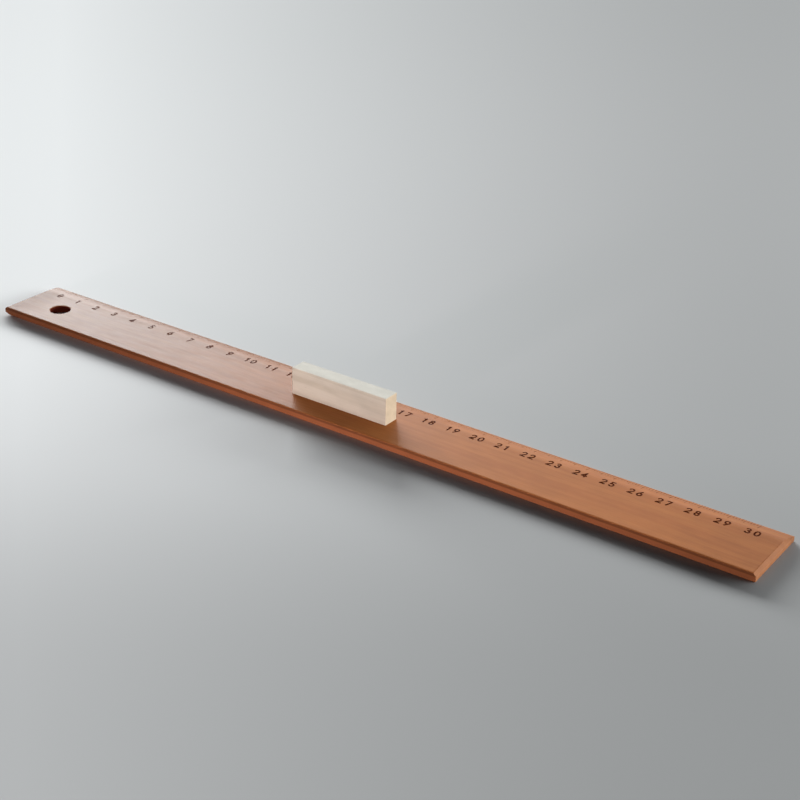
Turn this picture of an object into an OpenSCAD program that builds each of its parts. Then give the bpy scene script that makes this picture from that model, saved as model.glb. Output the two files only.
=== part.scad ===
// Wooden ruler: a flat blade with a rolled measuring edge and a finger grip, in millimetres.
// X runs along the scale, Y from the plain edge to the measuring edge, Z up.
// The origin is the centre of the underside.

/* [Blade] */
// Length of the blade from end to end
blade_l = 320; // [200:1:600]
// Width of the blade from the plain edge to the measuring edge
blade_w = 29; // [26:0.5:60]
// Thickness of the blade
blade_t = 3; // [2.6:0.1:8]
// Radius of the top arris along the plain edge
plain_top_r = 0.45; // [0.1:0.05:0.8]
// Radius of the bottom arris along the plain edge and under the far end
plain_bottom_r = 0.3; // [0.1:0.05:0.8]

/* [Measuring edge] */
// Width of the rolled bevel, seen from above
bevel_w = 7.8; // [2:0.1:10]
// Depth that the bevel has lost at the measuring edge
bevel_drop = 1.4; // [0.3:0.1:1.6]
// Radius of the two arrises of the measuring edge
edge_r = 0.15; // [0.05:0.05:0.3]

/* [Ends] */
// Width of the chamfer along the top of both ends
end_chamfer = 1.1; // [0.3:0.1:1.2]
// Radius that eases the two arrises of that chamfer
end_ease_r = 0.25; // [0.1:0.05:0.3]
// Radius of the four upright corners
corner_r = 0.5; // [0.3:0.1:3]
// Length of the lifting bevel under the zero end
lift_l = 3; // [1:0.1:8]
// Height that the lifting bevel reaches at the zero end
lift_h = 0.9; // [0.3:0.1:0.9]
// Radius where the lifting bevel meets the zero end
lift_r = 0.3; // [0.1:0.05:0.35]

/* [Hanging hole] */
// Diameter of the hanging hole
hole_d = 8; // [4:0.5:12]
// Distance from the left end to the centre of the hole
hole_x = 19.5; // [12:0.5:40]
// Distance from the plain edge to the centre of the hole
hole_y = 11.3; // [9:0.1:14]
// Width of the chamfer round both mouths of the hole
hole_ease = 0.25; // [0.1:0.05:0.5]

/* [Scale] */
// Distance from the left end to the zero mark
zero_x = 9.35; // [4:0.05:30]

/* [Grip] */
// Length of the grip along the blade
grip_l = 41; // [30:1:80]
// Width of the grip across the blade
grip_w = 6.5; // [5:0.1:10]
// Height of the grip above the blade
grip_h = 10.2; // [8:0.1:20]
// Reading on the scale under the middle of the grip
grip_mark = 149.65; // [80:0.05:170]
// Distance from the plain edge to the front of the grip
grip_y = 9.6; // [6:0.1:12]
// Radius of the eased arrises of the grip
grip_r = 0.4; // [0.1:0.1:1.2]

/* [Dowels] */
// Diameter of a dowel
dowel_d = 3; // [2:0.1:3.5]
// Length of a dowel
dowel_l = 8; // [5:0.5:9]
// Distance between the two dowels
dowel_pitch = 24; // [12:1:26]
// Depth of the dowel socket in the blade
socket_depth = 2; // [1:0.1:2.1]
// Width of the chamfer round each end of a dowel
dowel_chamfer = 0.35; // [0.1:0.05:0.5]
// Number of glue flutes round a dowel
flutes = 8; // [4:1:12]
// Radius of a glue flute
flute_r = 0.18; // [0.1:0.01:0.25]
// Clearance all round a dowel in its sockets, filled by glue
dowel_fit = 0.05; // [0.02:0.01:0.1]
// Room for glue above the dowel in the grip
glue_room = 0.4; // [0.1:0.1:0.8]

/* [Hidden] */
$fn = 48;

// Depth by which a cutter runs past the face that it opens
over = 1;
// Radius of the rolled bevel, which leaves the top face without an arris
bevel_r = (bevel_w * bevel_w + bevel_drop * bevel_drop) / (2 * bevel_drop);
// Slope of the rolled bevel where it reaches the measuring edge
bevel_slope = asin(bevel_w / bevel_r);
// Number of flats that stand for the arc of the bevel
bevel_steps = 12;
// Places measured from the centre of the underside
left_end = -blade_l / 2;
plain_edge = -blade_w / 2;
grip_centre = [left_end + zero_x + grip_mark, plain_edge + grip_y + grip_w / 2];
hole_centre = [left_end + hole_x, plain_edge + hole_y];
// Height of the underside of a dowel, which stands on the floor of its socket
dowel_z = blade_t - socket_depth;
// Depth of the dowel socket in the grip
grip_socket = dowel_l - socket_depth + glue_room;

blade_colour = "#b5835b";
grip_colour = "#d9cbb0";
dowel_colour = "#cfae80";

function unit(v) = v / norm(v);

// Cosine of the angle at corner b between its neighbours a and c
function corner_cos(a, b, c) = unit(a - b) * unit(c - b);

// Distance from corner b to the two ends of an arc of radius r that eases it
function setback(a, b, c, r) = let (k = corner_cos(a, b, c)) r * sqrt((1 + k) / (1 - k));

// Centre of the arc of radius r that eases corner b
function arc_centre(a, b, c, r) =
    let (k = corner_cos(a, b, c))
    b + unit(unit(a - b) + unit(c - b)) * r / sqrt((1 - k) / 2);

// Convex outline through the points p, with an arc of radius r[i] at each corner i
module eased_outline(p, r) {
    n = len(p);
    polygon([
        for (i = [0 : n - 1])
            let (a = p[(i + n - 1) % n], b = p[i], c = p[(i + 1) % n], s = setback(a, b, c, r[i]))
            for (q = r[i] > 0 ? [b + unit(a - b) * s, b + unit(c - b) * s] : [b]) q
    ]);
    for (i = [0 : n - 1])
        if (r[i] > 0)
            translate(arc_centre(p[(i + n - 1) % n], p[i], p[(i + 1) % n], r[i]))
                circle(r = r[i]);
}

// Point of the rolled bevel where its slope is a
function bevel_point(a) =
    [blade_w - bevel_w + bevel_r * sin(a), blade_t - bevel_r * (1 - cos(a))];

// Section across the blade: Y to the right, Z up
module blade_section() {
    eased_outline(
        [
            [0, 0],
            [blade_w, 0],
            for (i = [bevel_steps : -1 : 0]) bevel_point(bevel_slope * i / bevel_steps),
            [0, blade_t]
        ],
        [plain_bottom_r, edge_r, edge_r, for (i = [1 : bevel_steps]) 0, plain_top_r]
    );
}

// Side view of the blade: X to the right, Z up, with the zero end cut back underneath
module blade_side() {
    eased_outline(
        [
            [lift_l, 0],
            [blade_l, 0],
            [blade_l, blade_t - end_chamfer],
            [blade_l - end_chamfer, blade_t],
            [end_chamfer, blade_t],
            [0, blade_t - end_chamfer],
            [0, lift_h]
        ],
        [0, plain_bottom_r, end_ease_r, end_ease_r, end_ease_r, end_ease_r, lift_r]
    );
}

// Plan of the blade: X to the right, Y up, with its four corners eased
module blade_plan() {
    eased_outline(
        [[0, 0], [blade_l, 0], [blade_l, blade_w], [0, blade_w]],
        [corner_r, corner_r, corner_r, corner_r]
    );
}

// The board itself: its section run along X, trimmed to its side view and its plan
module board() {
    intersection() {
        translate([left_end, plain_edge, 0])
            rotate([90, 0, 90])
                linear_extrude(height = blade_l)
                    blade_section();
        translate([left_end, -plain_edge, 0])
            rotate([90, 0, 0])
                linear_extrude(height = blade_w)
                    blade_side();
        translate([left_end, plain_edge, 0])
            linear_extrude(height = blade_t)
                blade_plan();
    }
}

// Round hole through the board, chamfered at both mouths
module hanging_hole() {
    r = hole_d / 2;
    translate([hole_centre.x, hole_centre.y, 0]) {
        translate([0, 0, -over])
            cylinder(r = r, h = blade_t + 2 * over);
        translate([0, 0, -over])
            cylinder(r1 = r + hole_ease + over, r2 = r, h = hole_ease + over);
        translate([0, 0, blade_t - hole_ease])
            cylinder(r1 = r, r2 = r + hole_ease + over, h = hole_ease + over);
    }
}

// Puts a child at one dowel: side -1 is the left one, side 1 the right one
module at_dowel(side) {
    translate([grip_centre.x + side * dowel_pitch / 2, grip_centre.y, 0])
        children();
}

// Socket for one dowel, from height low to height high
module socket(side, low, high) {
    at_dowel(side)
        translate([0, 0, low])
            cylinder(d = dowel_d + 2 * dowel_fit, h = high - low);
}

// Board with its hanging hole and the two blind sockets under the grip
module blade() {
    color(blade_colour)
        difference() {
            board();
            hanging_hole();
            for (side = [-1, 1])
                socket(side, dowel_z, blade_t + over);
        }
}

// Block of the given size on the XY plane, eased on every arris but those of its foot
module eased_block(l, w, h, r) {
    intersection() {
        translate([-l / 2, w / 2, 0])
            rotate([90, 0, 0])
                linear_extrude(height = w)
                    eased_outline([[0, 0], [l, 0], [l, h], [0, h]], [0, 0, r, r]);
        translate([-l / 2, -w / 2, 0])
            rotate([90, 0, 90])
                linear_extrude(height = l)
                    eased_outline([[0, 0], [w, 0], [w, h], [0, h]], [0, 0, r, r]);
        translate([-l / 2, -w / 2, 0])
            linear_extrude(height = h)
                eased_outline([[0, 0], [l, 0], [l, w], [0, w]], [r, r, r, r]);
    }
}

// Grip that stands on the blade, with two blind sockets in its foot
module grip() {
    color(grip_colour)
        difference() {
            translate([grip_centre.x, grip_centre.y, blade_t])
                eased_block(grip_l, grip_w, grip_h, grip_r);
            for (side = [-1, 1])
                socket(side, blade_t - over, blade_t + grip_socket);
        }
}

// Fluted pin with chamfered ends, standing on the XY plane
module dowel_pin() {
    r = dowel_d / 2;
    difference() {
        rotate_extrude()
            polygon([
                [0, 0],
                [r - dowel_chamfer, 0],
                [r, dowel_chamfer],
                [r, dowel_l - dowel_chamfer],
                [r - dowel_chamfer, dowel_l],
                [0, dowel_l]
            ]);
        for (i = [0 : flutes - 1])
            rotate([0, 0, i * 360 / flutes])
                translate([r, 0, -over])
                    cylinder(r = flute_r, h = dowel_l + 2 * over, $fn = 16);
    }
}

// Dowel in its two sockets, standing on the floor of the one in the blade
module dowel(side) {
    color(dowel_colour)
        at_dowel(side)
            translate([0, 0, dowel_z])
                dowel_pin();
}

blade();
grip();
dowel(-1);  // dowel_left
dowel(1);  // dowel_right
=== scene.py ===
"""Wooden ruler with a grip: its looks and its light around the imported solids.

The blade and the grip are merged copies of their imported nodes. The scale and the
numerals are burnt into the blade's copy as real grooves. Lengths are in metres
where nothing else is said.
"""

import logging
import math
from collections.abc import Iterable, Mapping, Sequence
from dataclasses import dataclass
from enum import Enum

import bmesh
import bpy
from mathutils import Matrix, Vector


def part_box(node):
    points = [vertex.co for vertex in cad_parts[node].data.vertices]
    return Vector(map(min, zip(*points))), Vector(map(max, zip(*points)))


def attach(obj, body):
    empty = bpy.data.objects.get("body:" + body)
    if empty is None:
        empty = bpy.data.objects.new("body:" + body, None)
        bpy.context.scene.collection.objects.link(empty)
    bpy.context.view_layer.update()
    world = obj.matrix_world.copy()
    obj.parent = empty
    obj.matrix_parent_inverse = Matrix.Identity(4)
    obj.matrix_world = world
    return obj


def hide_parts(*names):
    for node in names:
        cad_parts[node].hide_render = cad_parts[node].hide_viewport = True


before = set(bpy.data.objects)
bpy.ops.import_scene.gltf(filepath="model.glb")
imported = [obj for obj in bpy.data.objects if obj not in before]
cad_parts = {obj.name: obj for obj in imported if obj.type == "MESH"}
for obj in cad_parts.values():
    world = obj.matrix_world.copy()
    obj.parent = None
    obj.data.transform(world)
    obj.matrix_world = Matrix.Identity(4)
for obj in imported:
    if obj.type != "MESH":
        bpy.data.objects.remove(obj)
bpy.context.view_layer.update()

LOG = logging.getLogger("ruler")
MM = 0.001

Point = tuple[float, float]
Span = tuple[float, float]
Stroke = tuple[list[Point], bool]
Outputs = Mapping[str, bpy.types.NodeSocket]
Layer = tuple[bpy.types.NodeSocket, Span, float, str]
Ramp = tuple[bpy.types.NodeSocket, Span, Span]

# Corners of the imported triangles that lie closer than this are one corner
WELD = 0.001 * MM
# Degrees within which a face looks in one of a mesh's flat directions
FLAT_TURN = 0.7
# Degrees of turn from which two such flat faces meet in a crisp edge
FLAT_CREASE = 2.0
# Degrees of turn from which any two faces do
CREASE = 32.0
# Ways that the six faces of a block look
AXES = tuple(
    Vector(way)
    for way in ((1, 0, 0), (0, 1, 0), (0, 0, 1), (-1, 0, 0), (0, -1, 0), (0, 0, -1))
)


def metres(span: Span) -> Span:
    """Turn a span in millimetres into metres."""
    return (span[0] * MM, span[1] * MM)


def linear(code: str) -> tuple[float, float, float, float]:
    """Turn an sRGB hex colour into linear light.

    Args:
        code: Six hex digits, with or without a leading #.

    Returns:
        Red, green, blue and an alpha of 1.
    """
    digits = code.lstrip("#")
    parts = [int(digits[i : i + 2], 16) / 255 for i in (0, 2, 4)]
    light = [c / 12.92 if c <= 0.04045 else ((c + 0.055) / 1.055) ** 2.4 for c in parts]
    return (light[0], light[1], light[2], 1.0)


def add(
    tree: bpy.types.NodeTree,
    kind: str,
    inputs: Mapping[str | int, object] | None = None,
    **settings: object,
) -> bpy.types.Node:
    """Add a node with its settings, and fill or link its inputs.

    Args:
        tree: Tree that gets the node.
        kind: Blender's name for the node's type.
        inputs: Input name or index to a value, or to the socket that feeds it.
        **settings: Attributes of the node.

    Returns:
        The new node.
    """
    node = tree.nodes.new(kind)
    for name, value in settings.items():
        setattr(node, name, value)
    for key, value in (inputs or {}).items():
        if isinstance(value, bpy.types.NodeSocket):
            tree.links.new(value, node.inputs[key])
        else:
            node.inputs[key].default_value = value
    return node


def joined_ramps(
    tree: bpy.types.NodeTree, ramps: Iterable[Ramp], operation: str
) -> bpy.types.NodeSocket:
    """Join values that each pass smoothly from one level to another.

    Args:
        tree: Tree that gets the nodes.
        ramps: For each, the socket that it reads, the span over which it passes, and
            its levels before and after that span.
        operation: How they are joined, such as MULTIPLY.

    Returns:
        Socket with the result.
    """
    levels = [
        add(
            tree,
            "ShaderNodeMapRange",
            {"Value": value, 1: low, 2: high, 3: first, 4: last},
            interpolation_type="SMOOTHSTEP",
        ).outputs[0]
        for value, (low, high), (first, last) in ramps
    ]
    result = levels[0]
    for level in levels[1:]:
        result = add(
            tree, "ShaderNodeMath", {0: result, 1: level}, operation=operation
        ).outputs[0]
    return result


class Grain(Enum):
    """Turn that brings a wood's fibres from X to the way that they run."""

    ALONG_BLADE = (0.0, 0.0, 0.0)
    UPRIGHT = (0.0, math.pi / 2, 0.0)


@dataclass(frozen=True)
class Wood:
    """Planed hardwood: growth bands, fibres, flecks and its own end grain.

    Colours are sRGB hex, lengths and places are in millimetres. Painted shade may
    darken a board towards its -X end, down to a given share of its brightness, and a
    board may darken a little towards its +X end, which has far_tone times its
    brightness. Use may have dulled it towards its +Y edge and its -X end, and painted
    shade may darken it there too, in a line under the arris of its -Y edge, and on
    its top. A painted tint of the light may colour its -Y face. The spans of the
    painted shade at the -X end, of the far end and of the end run along X, the edge
    span along Y and the line span along Z. A fleck is as long as fleck_length fibres
    are wide.
    """

    name: str
    early: str
    late: str
    fleck: str
    end_grain: str
    band: float
    fibre: float
    fibre_length: float
    fleck_share: float
    roughness: float
    gloss: float
    bump: float
    board: tuple[float, float, float]
    grain: Grain = Grain.ALONG_BLADE
    band_length: float = 260.0
    fleck_length: float = 8.0
    figure: Span = (8.0, 3.5)
    figure_tones: Span = (0.95, 1.05)
    wander: float = 6.0
    wander_size: Span = (90.0, 25.0)
    roughness_spread: Span = (-0.03, 0.06)
    heart: float = 1.0
    heart_span: Span = (-130.0, 75.0)
    far_tone: float = 1.0
    far_span: Span = (115.0, 155.0)
    edge_span: Span = (0.0, 0.0)
    end_span: Span = (-157.0, -143.0)
    end_share: float = 0.55
    edge_tone: float = 1.0
    edge_dull: float = 0.0
    dull_reach: float = 4.0
    line_span: Span = (0.0, 0.0)
    line_tone: float = 1.0
    handled: str = ""
    side: str = ""

    def _streaks(
        self,
        tree: bpy.types.NodeTree,
        place: bpy.types.NodeSocket,
        length: float,
        width: float,
        detail: float,
    ) -> Outputs:
        """Noise drawn out along the fibres.

        Args:
            tree: The material's node tree.
            place: Position in millimetres with the fibres along X.
            length: Length of a streak in millimetres.
            width: Width of a streak in millimetres.
            detail: Number of finer octaves.

        Returns:
            The noise from 0 to 1 as Fac, and three of them as Color.
        """
        stretched = add(
            tree,
            "ShaderNodeVectorMath",
            {0: place, 1: (1 / length, 1 / width, 1 / width)},
            operation="MULTIPLY",
        )
        return add(
            tree,
            "ShaderNodeTexNoise",
            {"Vector": stretched.outputs[0], "Scale": 1.0, "Detail": detail},
        ).outputs

    def _tinted(
        self, tree: bpy.types.NodeTree, layers: Iterable[Layer]
    ) -> bpy.types.NodeSocket:
        """Lay tints over the early wood, each where its pattern is strong.

        Args:
            tree: The material's node tree.
            layers: For each, its pattern, the span over which it comes in, its
                greatest share, and its tint, which is empty where the wood has none.

        Returns:
            Socket with the colour.
        """
        colour = linear(self.early)
        for pattern, (low, high), most, tint in layers:
            if not tint:
                continue
            share = add(
                tree,
                "ShaderNodeMapRange",
                {"Value": pattern, 1: low, 2: high, 4: most},
                interpolation_type="SMOOTHSTEP",
            )
            colour = add(
                tree,
                "ShaderNodeMix",
                {0: share.outputs[0], 6: colour, 7: linear(tint)},
                data_type="RGBA",
            ).outputs[2]
        return colour

    def _worn(
        self, tree: bpy.types.NodeTree, inside: Outputs, further: float = 0.0
    ) -> bpy.types.NodeSocket:
        """How rubbed and painted with shade the wood is, from 0 inside to 1 at its +Y
        edge, and at its -X end.

        Args:
            tree: The material's node tree.
            inside: Place on the board in metres, axis by axis.
            further: Millimetres that the wear starts further in from the edge.

        Returns:
            Socket with the wear.
        """
        low, high = self.edge_span
        edge = (inside["Y"], metres((low - further, high)), (0.0, 1.0))
        end = (inside["X"], metres(self.end_span), (self.end_share, 0.0))
        return joined_ramps(tree, (edge, end), "MAXIMUM")

    def _tone(
        self,
        tree: bpy.types.NodeTree,
        inside: Outputs,
        facing: Outputs,
        figure: bpy.types.NodeSocket,
    ) -> bpy.types.NodeSocket:
        """Brightness of the wood, which its figure and painted shade change over the
        board.

        Args:
            tree: The material's node tree.
            inside: Place on the board in metres, axis by axis.
            facing: Way that the face looks, axis by axis.
            figure: Noise of the short figure across the grain.

        Returns:
            Socket with the brightness, 1 where nothing changes it.
        """
        # The first ramp is painted shade, darker towards the -X end
        ramps = [
            (inside["X"], metres(self.heart_span), (self.heart, 1.0)),
            (figure, (0.3, 0.7), self.figure_tones),
            (inside["X"], metres(self.far_span), (1.0, self.far_tone)),
        ]
        # Painted shade, darker towards the rolled +Y edge and the -X end
        if self.edge_tone < 1.0:
            edge_shade = self._worn(tree, inside)
            ramps.append((edge_shade, (0.0, 1.0), (1.0, self.edge_tone)))
        # Painted shade in a line under the arris of faces that look towards -Y
        if self.line_tone < 1.0:
            under = (inside["Z"], metres(self.line_span), (0.0, 1.0))
            front = (facing["Y"], (-0.8, -0.95), (0.0, 1.0))
            line = joined_ramps(tree, (under, front), "MULTIPLY")
            ramps.append((line, (0.0, 1.0), (1.0, self.line_tone)))
        return joined_ramps(tree, ramps, "MULTIPLY")

    def material(self) -> bpy.types.Material:
        """Build the finish.

        Returns:
            The material.
        """
        made = bpy.data.materials.new(self.name)
        made.use_nodes = True
        tree = made.node_tree
        shader = tree.nodes["Principled BSDF"]
        spot = add(tree, "ShaderNodeTexCoord").outputs
        inside = add(tree, "ShaderNodeSeparateXYZ", {0: spot["Object"]}).outputs
        facing = add(tree, "ShaderNodeSeparateXYZ", {0: spot["Normal"]}).outputs
        place = add(
            tree,
            "ShaderNodeMapping",
            {
                "Vector": spot["Object"],
                "Location": self.board,
                "Rotation": self.grain.value,
                "Scale": (1 / MM, 1 / MM, 1 / MM),
            },
        ).outputs[0]
        # Fibres never run dead straight, so they wander by a millimetre or so
        drift = self._streaks(tree, place, *self.wander_size, 1.0)["Color"]
        bent = add(
            tree,
            "ShaderNodeVectorMath",
            {0: drift, 1: (0.0, self.wander, self.wander), 2: place},
            operation="MULTIPLY_ADD",
        ).outputs[0]
        bands = self._streaks(tree, bent, self.band_length, self.band, 2.0)["Fac"]
        fibres = self._streaks(tree, bent, self.fibre_length, self.fibre, 3.0)["Fac"]
        fleck_length = self.fleck_length * self.fibre
        flecks = self._streaks(tree, place, fleck_length, self.fibre, 1.0)["Fac"]
        figure = self._streaks(tree, place, *self.figure, 3.0)["Fac"]
        # A sawn end shows cut pores, so it has its own even tone
        turned = add(
            tree,
            "ShaderNodeMapping",
            {"Vector": spot["Normal"], "Rotation": self.grain.value},
        )
        along = add(tree, "ShaderNodeSeparateXYZ", {0: turned.outputs[0]}).outputs["X"]
        sawn = add(tree, "ShaderNodeMath", {0: along}, operation="ABSOLUTE").outputs[0]
        # Level of the noise above which hardly any of it lies
        rare = 0.74
        fleck_edge = rare - self.fleck_share
        layers = (
            (bands, (0.36, 0.66), 1.0, self.late),
            (fibres, (0.45, 0.75), 0.55, self.late),
            (flecks, (fleck_edge, fleck_edge + 0.1), 0.6, self.fleck),
            (sawn, (0.45, 0.95), 0.7, self.end_grain),
            # Painted shade greys faces that look up, and a painted tint of the light
            # colours faces that look towards -Y
            (facing["Z"], (0.5, 0.95), 0.85, self.handled),
            (facing["Y"], (-0.5, -0.95), 0.85, self.side),
        )
        colour = add(
            tree,
            "ShaderNodeHueSaturation",
            {
                "Value": self._tone(tree, inside, facing, figure),
                "Color": self._tinted(tree, layers),
            },
        )
        relief = add(tree, "ShaderNodeMath", {0: fibres, 1: flecks}, operation="ADD")
        bump = add(
            tree,
            "ShaderNodeBump",
            {"Strength": 0.6, "Distance": self.bump * MM, "Height": relief.outputs[0]},
        )
        shine = tuple(self.roughness + step for step in self.roughness_spread)
        dull = joined_ramps(tree, [(fibres, (0.35, 0.7), shine)], "MULTIPLY")
        if self.edge_dull > 0.0:
            # Rubbing takes the shine off further in than the painted shade reaches
            rubbed = self._worn(tree, inside, self.dull_reach)
            dull = add(
                tree,
                "ShaderNodeMath",
                {0: rubbed, 1: self.edge_dull, 2: dull},
                operation="MULTIPLY_ADD",
            ).outputs[0]
        tree.links.new(colour.outputs[0], shader.inputs["Base Color"])
        tree.links.new(dull, shader.inputs["Roughness"])
        tree.links.new(bump.outputs[0], shader.inputs["Normal"])
        shader.inputs["Specular IOR Level"].default_value = self.gloss
        return made


@dataclass(frozen=True)
class BurntWood:
    """Brown scorch of a hot stamp, dull and a bit uneven, and also painted shade on a
    hole's wall.

    Colours are sRGB hex, lengths are in millimetres.
    """

    name: str
    char: str
    toast: str
    speck: float = 0.25
    bump: float = 0.02
    roughness: float = 0.85
    gloss: float = 0.02

    def material(self) -> bpy.types.Material:
        """Build the finish.

        Returns:
            The material.
        """
        made = bpy.data.materials.new(self.name)
        made.use_nodes = True
        tree = made.node_tree
        shader = tree.nodes["Principled BSDF"]
        spot = add(tree, "ShaderNodeTexCoord")
        place, scale = spot.outputs["Object"], 1 / (self.speck * MM)
        speck = add(
            tree,
            "ShaderNodeTexNoise",
            {"Vector": place, "Scale": scale, "Detail": 2.0},
        ).outputs["Fac"]
        colour = add(
            tree,
            "ShaderNodeMix",
            {0: speck, 6: linear(self.char), 7: linear(self.toast)},
            data_type="RGBA",
        )
        bump = add(
            tree,
            "ShaderNodeBump",
            {"Strength": 0.5, "Distance": self.bump * MM, "Height": speck},
        )
        tree.links.new(colour.outputs[2], shader.inputs["Base Color"])
        tree.links.new(bump.outputs[0], shader.inputs["Normal"])
        shader.inputs["Roughness"].default_value = self.roughness
        shader.inputs["Specular IOR Level"].default_value = self.gloss
        return made


# Cherry, planed and sanded fine under a thin satin oil: an even warm brown with fine
# straight fibres, pale where light grazes it, duller where pencils have run. Its
# fibres and pores are too fine to show, so they are drawn coarser, 0.3 mm wide.
# Painted shade darkens it towards its -X end, towards its rolled +Y edge and in a
# line under the arris of its -Y face, and a painted tint of the light colours that face
CHERRY = Wood(
    name="oiled_cherry",
    early="#9d6134",
    late="#95592f",
    fleck="#824a27",
    end_grain="#c68862",
    band=1.7,
    fibre=0.3,
    fibre_length=16.0,
    fleck_share=0.03,
    roughness=0.45,
    gloss=0.031,
    bump=0.015,
    board=(37.0, 11.0, 5.0),
    heart=0.46,
    far_tone=0.85,
    edge_span=(8.5, 13.0),
    edge_tone=0.81,
    edge_dull=0.11,
    line_span=(1.7, 2.1),
    line_tone=0.58,
    side="#9f5f3e",
)

# Maple, sanded and oiled: cream with hardly any contrast, matt, its top greyed by
# painted shade. Its fibres are drawn coarser than they are, as the cherry's are
MAPLE = Wood(
    name="oiled_maple",
    early="#c0b8a7",
    late="#b5ac9a",
    fleck="#a39883",
    end_grain="#d2bb9f",
    band=1.9,
    fibre=0.3,
    fibre_length=14.0,
    fleck_share=0.02,
    roughness=0.42,
    gloss=0.015,
    bump=0.02,
    board=(211.0, 73.0, 29.0),
    handled="#b5b3ad",
)

# Beech rod, turned and left bare: pinkish straw with short dark flecks
BEECH = Wood(
    name="bare_beech",
    early="#d0ac7c",
    late="#bb925f",
    fleck="#8f6337",
    end_grain="#b08452",
    band=1.4,
    fibre=0.25,
    fibre_length=6.0,
    fleck_share=0.08,
    roughness=0.65,
    gloss=0.3,
    bump=0.02,
    board=(5.0, 3.0, 71.0),
    grain=Grain.UPRIGHT,
)

# Deep char of the stamped numerals: dark red-brown and matt
CHAR = BurntWood(name="charred_cherry", char="#3a1507", toast="#672c10")

# Light scorch of the graduation: it reads as a fine brown line, never as black
SCORCH = BurntWood(name="scorched_cherry", char="#3f1c0d", toast="#66341b")

# Wall of the hanging hole: painted shade, deep and red
BORE_SHADE = BurntWood(name="painted_bore_shade", char="#42150e", toast="#63281c", speck=0.6)


def link(mesh: bpy.types.Mesh, name: str) -> bpy.types.Object:
    """Put a mesh into the scene.

    Args:
        mesh: The mesh.
        name: Name of its object.

    Returns:
        The object, at the origin.
    """
    piece = bpy.data.objects.new(name, mesh)
    bpy.context.scene.collection.objects.link(piece)
    return piece


def plain(piece: bpy.types.Object, name: str) -> bpy.types.Mesh:
    """Bake an object's modifiers into a new mesh.

    Args:
        piece: Object with its modifiers.
        name: Name of the new mesh.

    Returns:
        The mesh.
    """
    bpy.context.view_layer.update()
    graph = bpy.context.evaluated_depsgraph_get()
    mesh = bpy.data.meshes.new_from_object(
        piece.evaluated_get(graph), preserve_all_data_layers=True, depsgraph=graph
    )
    mesh.name = name
    return mesh


def discard(pieces: Iterable[bpy.types.Object]) -> None:
    """Remove helper objects from the file.

    Args:
        pieces: Objects to remove.
    """
    for piece in pieces:
        bpy.data.objects.remove(piece)


def merged_copy(node: str) -> bpy.types.Mesh:
    """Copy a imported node's mesh with its loose triangles joined.

    Args:
        node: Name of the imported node.

    Returns:
        A closed mesh.
    """
    work = bmesh.new()
    work.from_mesh(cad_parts[node].data)
    bmesh.ops.remove_doubles(work, verts=work.verts, dist=WELD)
    mesh = bpy.data.meshes.new(node + "_wood")
    work.to_mesh(mesh)
    open_edges = sum(not edge.is_manifold for edge in work.edges)
    work.free()
    if "custom_normal" in mesh.attributes:
        mesh.attributes.remove(mesh.attributes["custom_normal"])
    LOG.info("%s: %d triangles, %d open edges", node, len(mesh.polygons), open_edges)
    return mesh


def shade(mesh: bpy.types.Mesh, flats: Sequence[Vector], name: str) -> bpy.types.Mesh:
    """Shade the roundings smoothly and keep every real edge crisp.

    Args:
        mesh: Closed mesh whose roundings are facets.
        flats: Directions that the flat faces look in.
        name: Name of the new mesh.

    Returns:
        A mesh with its own normals.
    """
    near = math.cos(math.radians(FLAT_TURN))
    flat = [any(p.normal.dot(way) > near for way in flats) for p in mesh.polygons]
    owners: dict[tuple[int, int], list[int]] = {}
    for polygon in mesh.polygons:
        for key in polygon.edge_keys:
            owners.setdefault(key, []).append(polygon.index)
    crease = math.cos(math.radians(CREASE))
    step = math.cos(math.radians(FLAT_CREASE))
    sharp = []
    for edge in mesh.edges:
        pair = owners.get(edge.key, [])
        if len(pair) != 2:
            sharp.append(True)
            continue
        a, b = pair
        turn = mesh.polygons[a].normal.dot(mesh.polygons[b].normal)
        sharp.append(turn < crease or (flat[a] and flat[b] and turn < step))
    layer = mesh.attributes.get("sharp_edge") or mesh.attributes.new(
        "sharp_edge", "BOOLEAN", "EDGE"
    )
    layer.data.foreach_set("value", sharp)
    mesh.polygons.foreach_set("use_smooth", [True] * len(mesh.polygons))
    helper = link(mesh, "shading")
    weigh = helper.modifiers.new("weigh", "WEIGHTED_NORMAL")
    weigh.keep_sharp = True
    weigh.weight = 100
    result = plain(helper, name)
    discard([helper])
    return result


def arc(
    centre: Point, radius: Point, start: float, end: float, steps: int
) -> list[Point]:
    """Points on an arc of an ellipse.

    Args:
        centre: Middle of the ellipse.
        radius: Half its width and half its height.
        start: First angle in degrees.
        end: Last angle in degrees.
        steps: Number of pieces.

    Returns:
        The points, both ends included.
    """
    angles = [math.radians(start + (end - start) * i / steps) for i in range(steps + 1)]
    return [
        (centre[0] + radius[0] * math.cos(a), centre[1] + radius[1] * math.sin(a))
        for a in angles
    ]


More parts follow.
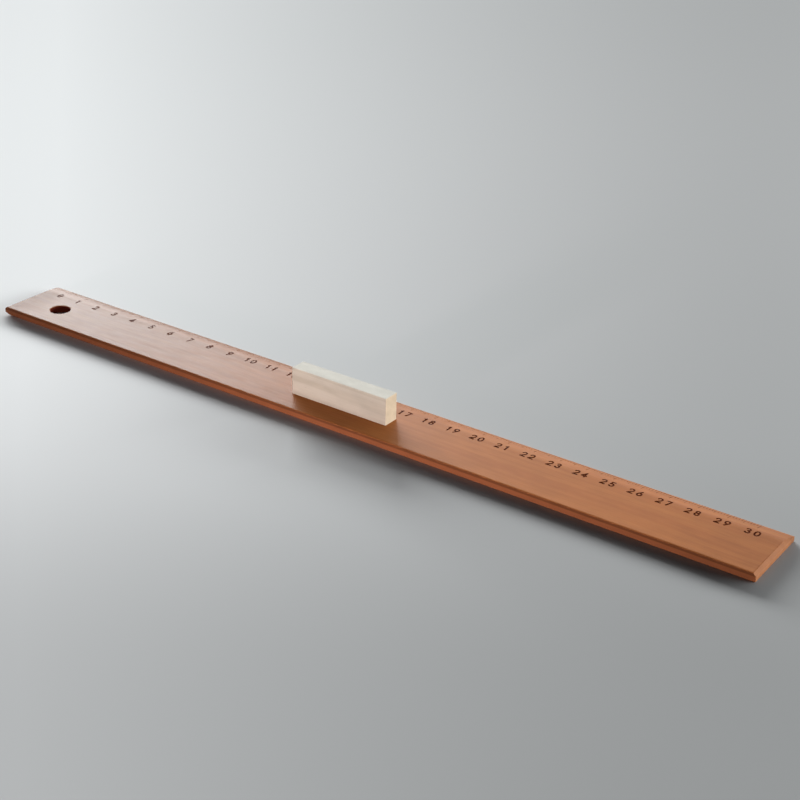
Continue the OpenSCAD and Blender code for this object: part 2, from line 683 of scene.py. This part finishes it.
@dataclass
class Numerals:
    """Plain geometric numerals, drawn by a round pen and burnt in.

    A glyph's pen line is one unit high, from 0 to 1, and centred on x = 0. A full
    bowl has turn pieces, and the round end of a stroke has cap pieces.
    """

    height: float = 3.35 * MM
    pen: float = 0.62 * MM
    pitch: float = 3.05 * MM
    narrow: float = 0.9
    depth: float = 0.14 * MM
    clear: float = 0.5 * MM
    turn: int = 20
    cap: int = 8

    def _ring(self, y: float, rx: float, ry: float) -> Stroke:
        """A closed bowl round (0, y)."""
        return (arc((0.0, y), (rx, ry), 0, 360, self.turn)[:-1], True)

    def _six(self) -> list[Stroke]:
        """The pen strokes of a 6: a bowl and the tangent that rises from it.

        Returns:
            The bowl and the tangent.
        """
        bowl, tip = 0.30, (0.17, 1.0)
        dx, dy = tip[0], tip[1] - bowl
        reach = math.hypot(dx, dy)
        angle = math.degrees(math.atan2(dy, dx) + math.acos(bowl / reach))
        touch = arc((0.0, bowl), (bowl, bowl), angle, angle, 1)[0]
        return [self._ring(bowl, bowl, bowl), ([touch, tip], False)]

    def strokes(self, digit: int) -> list[Stroke]:
        """The pen strokes of one digit.

        Args:
            digit: From 0 to 9.

        Returns:
            Each stroke's points and whether it closes.
        """
        half = self.turn // 2
        six = self._six()
        glyphs: list[list[Stroke]] = [
            [self._ring(0.5, 0.31, 0.5)],
            [
                ([(-0.16, 0.80), (0.06, 1.0)], False),
                ([(0.06, 1.0), (0.06, 0.0)], False),
            ],
            [
                (
                    arc((0.0, 0.71), (0.29, 0.29), 165, -38, half + 2) + [(-0.31, 0.0)],
                    False,
                ),
                ([(-0.31, 0.0), (0.31, 0.0)], False),
            ],
            [
                (arc((0.0, 0.76), (0.25, 0.24), 155, -90, half + 2), False),
                (arc((0.0, 0.26), (0.29, 0.26), 90, -158, half + 2), False),
            ],
            [
                ([(0.13, 1.0), (-0.34, 0.26)], False),
                ([(-0.34, 0.26), (0.34, 0.26)], False),
                ([(0.13, 1.0), (0.13, 0.0)], False),
            ],
            [
                ([(0.25, 1.0), (-0.14, 1.0)], False),
                ([(-0.14, 1.0), (-0.21, 0.52)], False),
                (arc((0.0, 0.30), (0.30, 0.30), 134, -150, half + 3), False),
            ],
            six,
            [
                ([(-0.29, 1.0), (0.30, 1.0)], False),
                ([(0.30, 1.0), (-0.10, 0.0)], False),
            ],
            [self._ring(0.76, 0.23, 0.24), self._ring(0.26, 0.28, 0.26)],
            [([(-x, 1.0 - y) for x, y in points], shut) for points, shut in six],
        ]
        return glyphs[digit]

    def _outline(self, stroke: Stroke) -> list[list[Point]]:
        """The edge of a stroke's ink.

        Args:
            stroke: Points in glyph units, and whether they close.

        Returns:
            One loop, or two round a hole, in metres.
        """
        scale = self.height - self.pen
        wide = scale * self.narrow
        points = [Vector((x * wide, (y - 0.5) * scale)) for x, y in stroke[0]]
        closed = stroke[1]
        count = len(points)
        r = self.pen / 2
        sides: list[list[Point]] = [[], []]
        for i, p in enumerate(points):
            before = points[i - 1] if closed or i else p
            after = points[(i + 1) % count] if closed or i < count - 1 else p
            way = (after - before).normalized()
            left = Vector((-way.y, way.x)) * r
            sides[0].append(tuple(p + left))
            sides[1].append(tuple(p - left))
        if closed:
            return sides
        caps = []
        for tip, inner in ((points[-1], points[-2]), (points[0], points[1])):
            way = math.degrees(math.atan2(*reversed(tip - inner)))
            caps.append(arc(tuple(tip), (r, r), way + 90, way - 90, self.cap)[1:-1])
        return [sides[0] + caps[0] + sides[1][::-1] + caps[1]]

    def _ink(self, stroke: Stroke) -> bpy.types.Object:
        """A solid of one stroke, from the groove's floor to above the wood.

        Args:
            stroke: Points in glyph units, and whether they close.

        Returns:
            The solid's object.
        """
        loops = self._outline(stroke)
        work = bmesh.new()
        floors = []
        for loop in loops:
            low = [work.verts.new((x, y, -self.depth)) for x, y in loop]
            high = [work.verts.new((x, y, self.clear)) for x, y in loop]
            floors.append((low, high))
            for i in range(len(loop)):
                j = (i + 1) % len(loop)
                work.faces.new((low[i], low[j], high[j], high[i]))
        if len(loops) == 1:
            work.faces.new(floors[0][0])
            work.faces.new(floors[0][1])
        else:
            count = len(loops[0])
            for level in (0, 1):
                a, b = floors[0][level], floors[1][level]
                for i in range(count):
                    j = (i + 1) % count
                    work.faces.new((a[i], a[j], b[j], b[i]))
        bmesh.ops.recalc_face_normals(work, faces=work.faces)
        mesh = bpy.data.meshes.new("stroke")
        work.to_mesh(mesh)
        work.free()
        return link(mesh, "stroke")

    def glyph(self, digit: int) -> bpy.types.Mesh:
        """One digit as a closed solid, its strokes joined.

        Args:
            digit: From 0 to 9.

        Returns:
            The mesh, centred on the origin.
        """
        inks = [self._ink(stroke) for stroke in self.strokes(digit)]
        for other in inks[1:]:
            join = inks[0].modifiers.new("join", "BOOLEAN")
            join.operation = "UNION"
            join.solver = "EXACT"
            join.object = other
        mesh = plain(inks[0], f"digit_{digit}")
        discard(inks)
        return mesh

    def row(self, count: int, start: Vector, step: float) -> bpy.types.Mesh:
        """Every numeral of the scale as one cutter.

        Args:
            count: Number of numerals, from 0 up.
            start: Middle of the numeral 0, on the face of the wood.
            step: Distance between numerals.

        Returns:
            The mesh.
        """
        glyphs = [self.glyph(digit) for digit in range(10)]
        work = bmesh.new()
        for number in range(count):
            digits = [int(c) for c in str(number)]
            for place, digit in enumerate(digits):
                shift = (place - (len(digits) - 1) / 2) * self.pitch
                seen = len(work.verts)
                work.from_mesh(glyphs[digit])
                work.verts.ensure_lookup_table()
                bmesh.ops.translate(
                    work,
                    verts=work.verts[seen:],
                    vec=start + Vector((number * step + shift, 0.0, 0.0)),
                )
        mesh = bpy.data.meshes.new("numerals")
        work.to_mesh(mesh)
        work.free()
        return mesh


@dataclass
class Graduation:
    """The marks of the scale: one a millimetre, longer at fives and tens.

    Each mark is a groove that runs out through the measuring edge. Its walls lean,
    so it is narrower at its floor. It is laid flat first and rolled by the blade.
    """

    count: int = 301
    pitch: float = 1.0 * MM
    short: float = 2.4 * MM
    middle: float = 3.4 * MM
    long: float = 4.2 * MM
    width: float = 0.22 * MM
    floor: float = 0.6
    depth: float = 0.1 * MM
    clear: float = 0.3 * MM
    steps: int = 6

    def _tree(self) -> tuple[bpy.types.NodeTree, dict[str, str]]:
        """Build the node tree that lays the marks.

        Returns:
            The tree, and each named input's identifier.
        """
        tree = bpy.data.node_groups.new("graduation_marks", "GeometryNodeTree")
        face = tree.interface
        face.new_socket("Geometry", in_out="INPUT", socket_type="NodeSocketGeometry")
        face.new_socket("Geometry", in_out="OUTPUT", socket_type="NodeSocketGeometry")
        kinds = {
            "Count": "NodeSocketInt",
            "Pitch": "NodeSocketFloat",
            "Short": "NodeSocketFloat",
            "Middle": "NodeSocketFloat",
            "Long": "NodeSocketFloat",
            "Width": "NodeSocketFloat",
            "Floor share": "NodeSocketFloat",
            "Depth": "NodeSocketFloat",
            "Clear": "NodeSocketFloat",
            "Rings": "NodeSocketInt",
            "Material": "NodeSocketMaterial",
        }
        names = {
            name: face.new_socket(name, in_out="INPUT", socket_type=kind).identifier
            for name, kind in kinds.items()
        }
        given = add(tree, "NodeGroupInput").outputs
        clear = given["Clear"]
        start = add(tree, "ShaderNodeCombineXYZ", {"Y": clear})
        stride = add(tree, "ShaderNodeCombineXYZ", {"X": given["Pitch"]})
        line = add(
            tree,
            "GeometryNodeMeshLine",
            {
                "Count": given["Count"],
                "Start Location": start.outputs[0],
                "Offset": stride.outputs[0],
            },
        )
        index = add(tree, "GeometryNodeInputIndex").outputs[0]
        length = given["Short"]
        for every, name in ((5, "Middle"), (10, "Long")):
            rest = add(tree, "ShaderNodeMath", {0: index, 1: every}, operation="MODULO")
            hit = add(
                tree,
                "ShaderNodeMath",
                {0: rest.outputs[0], 1: 0.5},
                operation="LESS_THAN",
            )
            length = add(
                tree,
                "GeometryNodeSwitch",
                {"Switch": hit.outputs[0], "False": length, "True": given[name]},
                input_type="FLOAT",
            ).outputs[0]
        reach = add(tree, "ShaderNodeMath", {0: length, 1: clear}, operation="ADD")
        deep = add(
            tree, "ShaderNodeMath", {0: given["Depth"], 1: clear}, operation="ADD"
        )
        size = add(
            tree,
            "ShaderNodeCombineXYZ",
            {"X": given["Width"], "Y": 1.0, "Z": deep.outputs[0]},
        )
        bar = add(
            tree,
            "GeometryNodeMeshCube",
            {"Size": size.outputs[0], "Vertices Y": given["Rings"]},
        )
        at = add(tree, "GeometryNodeInputPosition")
        part = add(tree, "ShaderNodeSeparateXYZ", {0: at.outputs[0]}).outputs
        under = add(
            tree, "ShaderNodeMath", {0: part["Z"], 1: 0.0}, operation="LESS_THAN"
        )
        narrow = add(
            tree,
            "GeometryNodeSwitch",
            {"Switch": under.outputs[0], "False": 1.0, "True": given["Floor share"]},
            input_type="FLOAT",
        )
        x = add(
            tree,
            "ShaderNodeMath",
            {0: part["X"], 1: narrow.outputs[0]},
            operation="MULTIPLY",
        )
        y = add(tree, "ShaderNodeMath", {0: part["Y"], 1: 0.5}, operation="SUBTRACT")
        sink = add(
            tree, "ShaderNodeMath", {0: clear, 1: given["Depth"]}, operation="SUBTRACT"
        )
        z = add(
            tree,
            "ShaderNodeMath",
            {0: sink.outputs[0], 1: 0.5, 2: part["Z"]},
            operation="MULTIPLY_ADD",
        )
        spot = add(
            tree,
            "ShaderNodeCombineXYZ",
            {"X": x.outputs[0], "Y": y.outputs[0], "Z": z.outputs[0]},
        )
        leaning = add(
            tree,
            "GeometryNodeSetPosition",
            {"Geometry": bar.outputs["Mesh"], "Position": spot.outputs[0]},
        )
        stretch = add(
            tree,
            "ShaderNodeCombineXYZ",
            {"X": 1.0, "Y": reach.outputs[0], "Z": 1.0},
        )
        laid = add(
            tree,
            "GeometryNodeInstanceOnPoints",
            {
                "Points": line.outputs["Mesh"],
                "Instance": leaning.outputs[0],
                "Scale": stretch.outputs[0],
            },
        )
        real = add(
            tree, "GeometryNodeRealizeInstances", {"Geometry": laid.outputs[0]}
        )
        burnt = add(
            tree,
            "GeometryNodeSetMaterial",
            {"Geometry": real.outputs[0], "Material": given["Material"]},
        )
        add(tree, "NodeGroupOutput", {"Geometry": burnt.outputs[0]})
        return tree, names

    def cutter(self, material: bpy.types.Material) -> bpy.types.Mesh:
        """Lay the marks along X from the origin, reaching towards -Y.

        Args:
            material: Finish of the grooves.

        Returns:
            The mesh.
        """
        tree, names = self._tree()
        holder = link(bpy.data.meshes.new("marks"), "marks")
        modifier = holder.modifiers.new("marks", "NODES")
        modifier.node_group = tree
        values = {
            "Count": self.count,
            "Pitch": self.pitch,
            "Short": self.short,
            "Middle": self.middle,
            "Long": self.long,
            "Width": self.width,
            "Floor share": self.floor,
            "Depth": self.depth,
            "Clear": self.clear,
            "Rings": self.steps + 1,
            "Material": material,
        }
        for name, value in values.items():
            modifier[names[name]] = value
        mesh = plain(holder, "marks")
        discard([holder])
        return mesh


@dataclass
class Blade:
    """The board, its scale burnt into the rolled edge and its numerals beside it."""

    roll_width: float = 7.8 * MM
    roll_drop: float = 1.4 * MM
    lift_length: float = 3.0 * MM
    lift_height: float = 0.9 * MM
    zero: float = 9.35 * MM
    numbers: int = 31
    number_step: float = 10.0 * MM
    number_inset: float = 7.8 * MM
    hole_place: Point = (-140.5 * MM, -3.2 * MM)
    hole_radius: float = 4.0 * MM
    wall_slack: float = 0.1 * MM
    wall_tilt: float = 0.5

    def _lay(self, marks: bpy.types.Mesh, corner: Vector) -> None:
        """Roll flat marks onto the measuring edge.

        Args:
            marks: Mesh whose X runs along the edge, Y out from it and Z off the wood.
            corner: Where the zero mark meets the edge, at the height of the top face.
        """
        radius = (self.roll_width**2 + self.roll_drop**2) / (2 * self.roll_drop)
        for vertex in marks.vertices:
            x, y, z = vertex.co
            slope = math.asin((self.roll_width + min(y, 0.0)) / radius)
            out = radius * math.sin(slope) - self.roll_width + max(y, 0.0)
            fall = radius * (1 - math.cos(slope)) + max(y, 0.0) * math.tan(slope)
            off = Vector((0.0, math.sin(slope), math.cos(slope))) * z
            vertex.co = corner + Vector((x, out, -fall)) + off

    def _flats(self) -> list[Vector]:
        """Directions that the blade's flat faces look in.

        Returns:
            Unit vectors.
        """
        slants = [
            Vector((-self.lift_height, 0.0, -self.lift_length)).normalized(),
            Vector((1.0, 0.0, 1.0)).normalized(),
            Vector((-1.0, 0.0, 1.0)).normalized(),
        ]
        return [*AXES, *slants]

    def _is_bore(self, face: bpy.types.MeshPolygon) -> bool:
        """Tell the wall of the hanging hole from the board's other faces.

        Args:
            face: A face of the board.

        Returns:
            Whether the face belongs to the wall.
        """
        away = (Vector(self.hole_place) - face.center.xy).length
        near = away < self.hole_radius + self.wall_slack
        return near and abs(face.normal.z) < self.wall_tilt

    def build(self) -> bpy.types.Object:
        """Cut the scale into the board and dress it.

        Returns:
            The finished piece.
        """
        low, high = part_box("blade")
        wood, scorch = CHERRY.material(), SCORCH.material()
        finishes = (wood, scorch, CHAR.material(), BORE_SHADE.material())
        marks = Graduation().cutter(scorch)
        corner = Vector((low.x + self.zero, high.y, high.z))
        self._lay(marks, corner)
        first = corner - Vector((0.0, self.number_inset, 0.0))
        numerals = Numerals().row(self.numbers, first, self.number_step)
        board = merged_copy("blade")
        for index, mesh in enumerate((board, marks, numerals)):
            mesh.materials.clear()
            for finish in finishes:
                mesh.materials.append(finish)
            mesh.polygons.foreach_set("material_index", [index] * len(mesh.polygons))
        # The wall of the hanging hole takes the painted shade
        for face in board.polygons:
            if self._is_bore(face):
                face.material_index = len(finishes) - 1
        body = link(board, "board")
        cutters = [link(marks, "marks"), link(numerals, "numerals")]
        for cutter in cutters:
            cut = body.modifiers.new("burn", "BOOLEAN")
            cut.operation = "DIFFERENCE"
            cut.solver = "MANIFOLD"
            cut.object = cutter
        carved = plain(body, "carved")
        discard([body, *cutters])
        piece = link(shade(carved, self._flats(), "blade_wood"), "blade_wood")
        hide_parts("blade")
        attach(piece, "root")
        return piece


@dataclass
class Grip:
    """The pale block that the fingers hold."""

    finish: Wood = MAPLE

    def build(self) -> bpy.types.Object:
        """Shade and dress the block.

        Returns:
            The finished piece.
        """
        block = merged_copy("grip")
        block.materials.clear()
        block.materials.append(self.finish.material())
        piece = link(shade(block, AXES, "grip_wood"), "grip_wood")
        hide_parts("grip")
        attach(piece, "root")
        return piece


@dataclass
class Dowels:
    """The two hidden pins between the blade and the grip."""

    names: tuple[str, str] = ("dowel_left", "dowel_right")
    finish: Wood = BEECH

    def build(self) -> list[bpy.types.Object]:
        """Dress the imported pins.

        Returns:
            The two pieces.
        """
        rod = self.finish.material()
        pieces = [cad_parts[name] for name in self.names]
        for piece in pieces:
            for place in piece.material_slots:
                place.material = rod
        return pieces


@dataclass(frozen=True)
class SoftBox:
    """A soft box that looks at the middle of the ruler.

    Its azimuth turns from +Y towards -X. Angles are in degrees, power is in watts.
    """

    name: str
    azimuth: float
    elevation: float
    distance: float
    size: tuple[float, float]
    power: float
    colour: str = "#fafeff"
    roll: float = 0.0

    def build(self) -> bpy.types.Object:
        """Hang the box.

        Returns:
            The lamp.
        """
        a, e = math.radians(self.azimuth), math.radians(self.elevation)
        flat = math.cos(e)
        way = Vector((-math.sin(a) * flat, math.cos(a) * flat, math.sin(e)))
        data = bpy.data.lights.new(self.name, "AREA")
        data.shape = "RECTANGLE"
        data.size, data.size_y = self.size
        data.energy = self.power
        data.color = linear(self.colour)[:3]
        aim = (-way).to_track_quat("-Z", "Y").to_matrix()
        turn = aim @ Matrix.Rotation(math.radians(self.roll), 3, "Z")
        lamp = bpy.data.objects.new(self.name, data)
        lamp.matrix_world = Matrix.Translation(way * self.distance) @ turn.to_4x4()
        lamp.visible_camera = False
        bpy.context.scene.collection.objects.link(lamp)
        return lamp


@dataclass
class Studio:
    """Camera, table and light.

    Angles are in degrees. The table's three ramps run over the distance from the
    apex of its fan: each has the span over which it passes and its two levels.
    """

    camera_place: tuple[float, float, float] = (0.2938, -0.39012, 0.2498)
    azimuth: float = 34.876
    elevation: float = 26.604
    roll: float = 1.291
    lens: float = 70.18
    table_reach: float = 4.5
    table_gap: float = 0.02 * MM
    table_dark: str = "#afafaf"
    table_pale: str = "#efefef"
    table_roughness: float = 0.6
    table_lift: tuple[Span, Span] = ((0.43, 0.72), (0.47, 1.09))
    table_near: tuple[Span, Span] = ((0.46, 0.6), (0.845, 1.0))
    table_far: tuple[Span, Span] = ((0.75, 1.45), (1.0, 0.81))
    fan_apex: Point = (0.3705, -0.4892)
    fan_across: Point = (0.8144, 0.5799)
    fan_ahead: Point = (-0.5718, 0.8204)
    fan_start: float = 0.33
    fan_half: float = 0.218
    fan_fade: float = 1.55
    room_colour: str = "#eef1f2"
    room_light: float = 0.03
    room_sight: float = 0.55
    boxes: tuple[SoftBox, ...] = (
        SoftBox("key", 57.0, 10.8, 6.0, (4.5, 0.9), 1100.0, roll=-17.0),
        SoftBox("back_right", -52.0, 11.0, 6.0, (6.0, 1.0), 460.0),
        SoftBox("back", 8.0, 15.0, 6.0, (5.4, 0.8), 230.0),
    )
    fill: SoftBox = SoftBox("fill", -150.0, 50.0, 3.0, (1.5, 1.5), 35.0, "#fffaf4")
    block_boxes: tuple[SoftBox, ...] = (
        SoftBox("block_right", -62.0, 20.0, 3.0, (1.2, 1.2), 107.0),
        SoftBox("block_left", 57.0, 40.0, 3.0, (1.2, 1.2), 104.0),
    )
    front_place: tuple[float, float, float] = (-0.045, -2.0, 0.08)
    front_aim: tuple[float, float, float] = (-0.045, -0.014, 0.003)
    front_beam: float = 11.4
    front_blend: float = 0.5
    front_radius: float = 0.15
    front_power: float = 160.0
    front_colour: str = "#ffeef4"

    def _camera(self) -> None:
        """Set the camera as the photograph has it."""
        a, e, r = (math.radians(v) for v in (self.azimuth, self.elevation, self.roll))
        back = Vector(
            (math.sin(a) * math.cos(e), -math.cos(a) * math.cos(e), math.sin(e))
        )
        right = Vector((math.cos(a), math.sin(a), 0.0))
        up = back.cross(right)
        tilted_right = math.cos(r) * right + math.sin(r) * up
        tilted_up = math.cos(r) * up - math.sin(r) * right
        turn = Matrix((tilted_right, tilted_up, back)).transposed()
        data = bpy.data.cameras.new("camera")
        data.lens = self.lens
        data.sensor_width = 36.0
        data.clip_start = 0.01
        data.clip_end = 20.0
        camera = bpy.data.objects.new("camera", data)
        camera.matrix_world = Matrix.Translation(self.camera_place) @ turn.to_4x4()
        bpy.context.scene.collection.objects.link(camera)
        bpy.context.scene.camera = camera

    def _front(self) -> None:
        """Add the weak front light, which fades towards both ends of the ruler."""
        data = bpy.data.lights.new("front", "SPOT")
        data.energy = self.front_power
        data.color = linear(self.front_colour)[:3]
        data.spot_size = math.radians(self.front_beam)
        data.spot_blend = self.front_blend
        data.shadow_soft_size = self.front_radius
        lamp = bpy.data.objects.new("front", data)
        place = Vector(self.front_place)
        lamp.location = place
        aim = (Vector(self.front_aim) - place).to_track_quat("-Z", "Y")
        lamp.rotation_euler = aim.to_euler()
        bpy.context.scene.collection.objects.link(lamp)

    def _laminate(self) -> bpy.types.Material:
        """Build the table's finish.

        Its colour is painted light and shade: it pales to the left in a fan that opens
        away from the front, and darkens a little at the front and far behind.

        Returns:
            The material.
        """
        top = bpy.data.materials.new("pale_laminate")
        top.use_nodes = True
        tree = top.node_tree
        shader = tree.nodes["Principled BSDF"]
        spot = add(tree, "ShaderNodeTexCoord")
        apex = (-self.fan_apex[0], -self.fan_apex[1], 0.0)
        from_apex = add(
            tree, "ShaderNodeVectorMath", {0: spot.outputs["Object"], 1: apex}
        ).outputs[0]
        across, ahead = (
            add(
                tree,
                "ShaderNodeVectorMath",
                {0: from_apex, 1: (*way, 0.0)},
                operation="DOT_PRODUCT",
            ).outputs["Value"]
            for way in (self.fan_across, self.fan_ahead)
        )
        away = add(
            tree, "ShaderNodeMath", {0: ahead, 1: self.fan_start}, operation="MAXIMUM"
        ).outputs[0]
        fan = add(tree, "ShaderNodeMath", {0: across, 1: away}, operation="DIVIDE")
        left = add(
            tree,
            "ShaderNodeMapRange",
            {"Value": fan.outputs[0], 1: self.fan_half, 2: -self.fan_half},
        )
        fade = add(
            tree,
            "ShaderNodeMath",
            {0: left.outputs[0], 1: self.fan_fade},
            operation="POWER",
        )
        lift = joined_ramps(tree, [(away, *self.table_lift)], "MULTIPLY")
        share = add(
            tree,
            "ShaderNodeMath",
            {0: fade.outputs[0], 1: lift},
            operation="MULTIPLY",
            use_clamp=True,
        )
        tint = add(
            tree,
            "ShaderNodeMix",
            {
                0: share.outputs[0],
                6: linear(self.table_dark),
                7: linear(self.table_pale),
            },
            data_type="RGBA",
        )
        depth = [(away, *self.table_near), (away, *self.table_far)]
        colour = add(
            tree,
            "ShaderNodeHueSaturation",
            {
                "Value": joined_ramps(tree, depth, "MULTIPLY"),
                "Color": tint.outputs[2],
            },
        )
        tree.links.new(colour.outputs[0], shader.inputs["Base Color"])
        shader.inputs["Roughness"].default_value = self.table_roughness
        shader.inputs["Specular IOR Level"].default_value = 0.0
        return top

    def _table(self) -> None:
        """Lay the pale table that the ruler lies on."""
        mesh = bpy.data.meshes.new("table")
        near, far = -self.table_reach, self.table_reach
        corners = ((near, near), (far, near), (far, far), (near, far))
        places = [(x, y, -self.table_gap) for x, y in corners]
        mesh.from_pydata(places, [], [(0, 1, 2, 3)])
        mesh.materials.append(self._laminate())
        link(mesh, "table")

    def build(self) -> None:
        """Set the whole stage."""
        scene = bpy.context.scene
        scene.view_settings.view_transform = "Standard"
        world = bpy.data.worlds.new("room")
        world.use_nodes = True
        tree = world.node_tree
        sky = tree.nodes["Background"]
        sky.inputs["Color"].default_value = linear(self.room_colour)
        # Only the eye and reflections see the pale room: it hardly lights the ruler
        ray = add(tree, "ShaderNodeLightPath").outputs
        seen = ray["Is Camera Ray"]
        for kind in ("Is Glossy Ray", "Is Transmission Ray"):
            seen = add(
                tree, "ShaderNodeMath", {0: seen, 1: ray[kind]}, operation="MAXIMUM"
            ).outputs[0]
        strength = add(
            tree,
            "ShaderNodeMapRange",
            {"Value": seen, 3: self.room_light, 4: self.room_sight},
        )
        tree.links.new(strength.outputs[0], sky.inputs["Strength"])
        scene.world = world
        self._camera()
        self._table()
        self._front()

    def light_ruler(
        self, pieces: Iterable[bpy.types.Object], block: bpy.types.Object
    ) -> None:
        """Add the back lights, and the fill light that is flagged off the table.

        The back lights stand so low that they would burn out the back of the block,
        so they pass it by, and two higher lights of its own take their place.

        Args:
            pieces: What the fill light may reach.
            block: The grip.
        """
        reached = bpy.data.collections.new("lit_by_fill")
        for piece in pieces:
            reached.objects.link(piece)
        self.fill.build().light_linking.receiver_collection = reached
        passed_by = bpy.data.collections.new("passed_by")
        passed_by.objects.link(block)
        passed_by.collection_objects[0].light_linking.link_state = "EXCLUDE"
        for box in self.boxes:
            box.build().light_linking.receiver_collection = passed_by
        only_block = bpy.data.collections.new("only_block")
        only_block.objects.link(block)
        for box in self.block_boxes:
            box.build().light_linking.receiver_collection = only_block


def main() -> None:
    """Build the ruler piece by piece and report each one."""
    logging.basicConfig(level=logging.INFO, format="%(name)s: %(message)s")
    studio = Studio()
    studio.build()
    block = Grip().build()
    made = [Blade().build(), block, *Dowels().build()]
    studio.light_ruler(made, block)
    for piece in made:
        LOG.info("%s: %d faces", piece.name, len(piece.data.polygons))


if __name__ == "__main__":
    main()
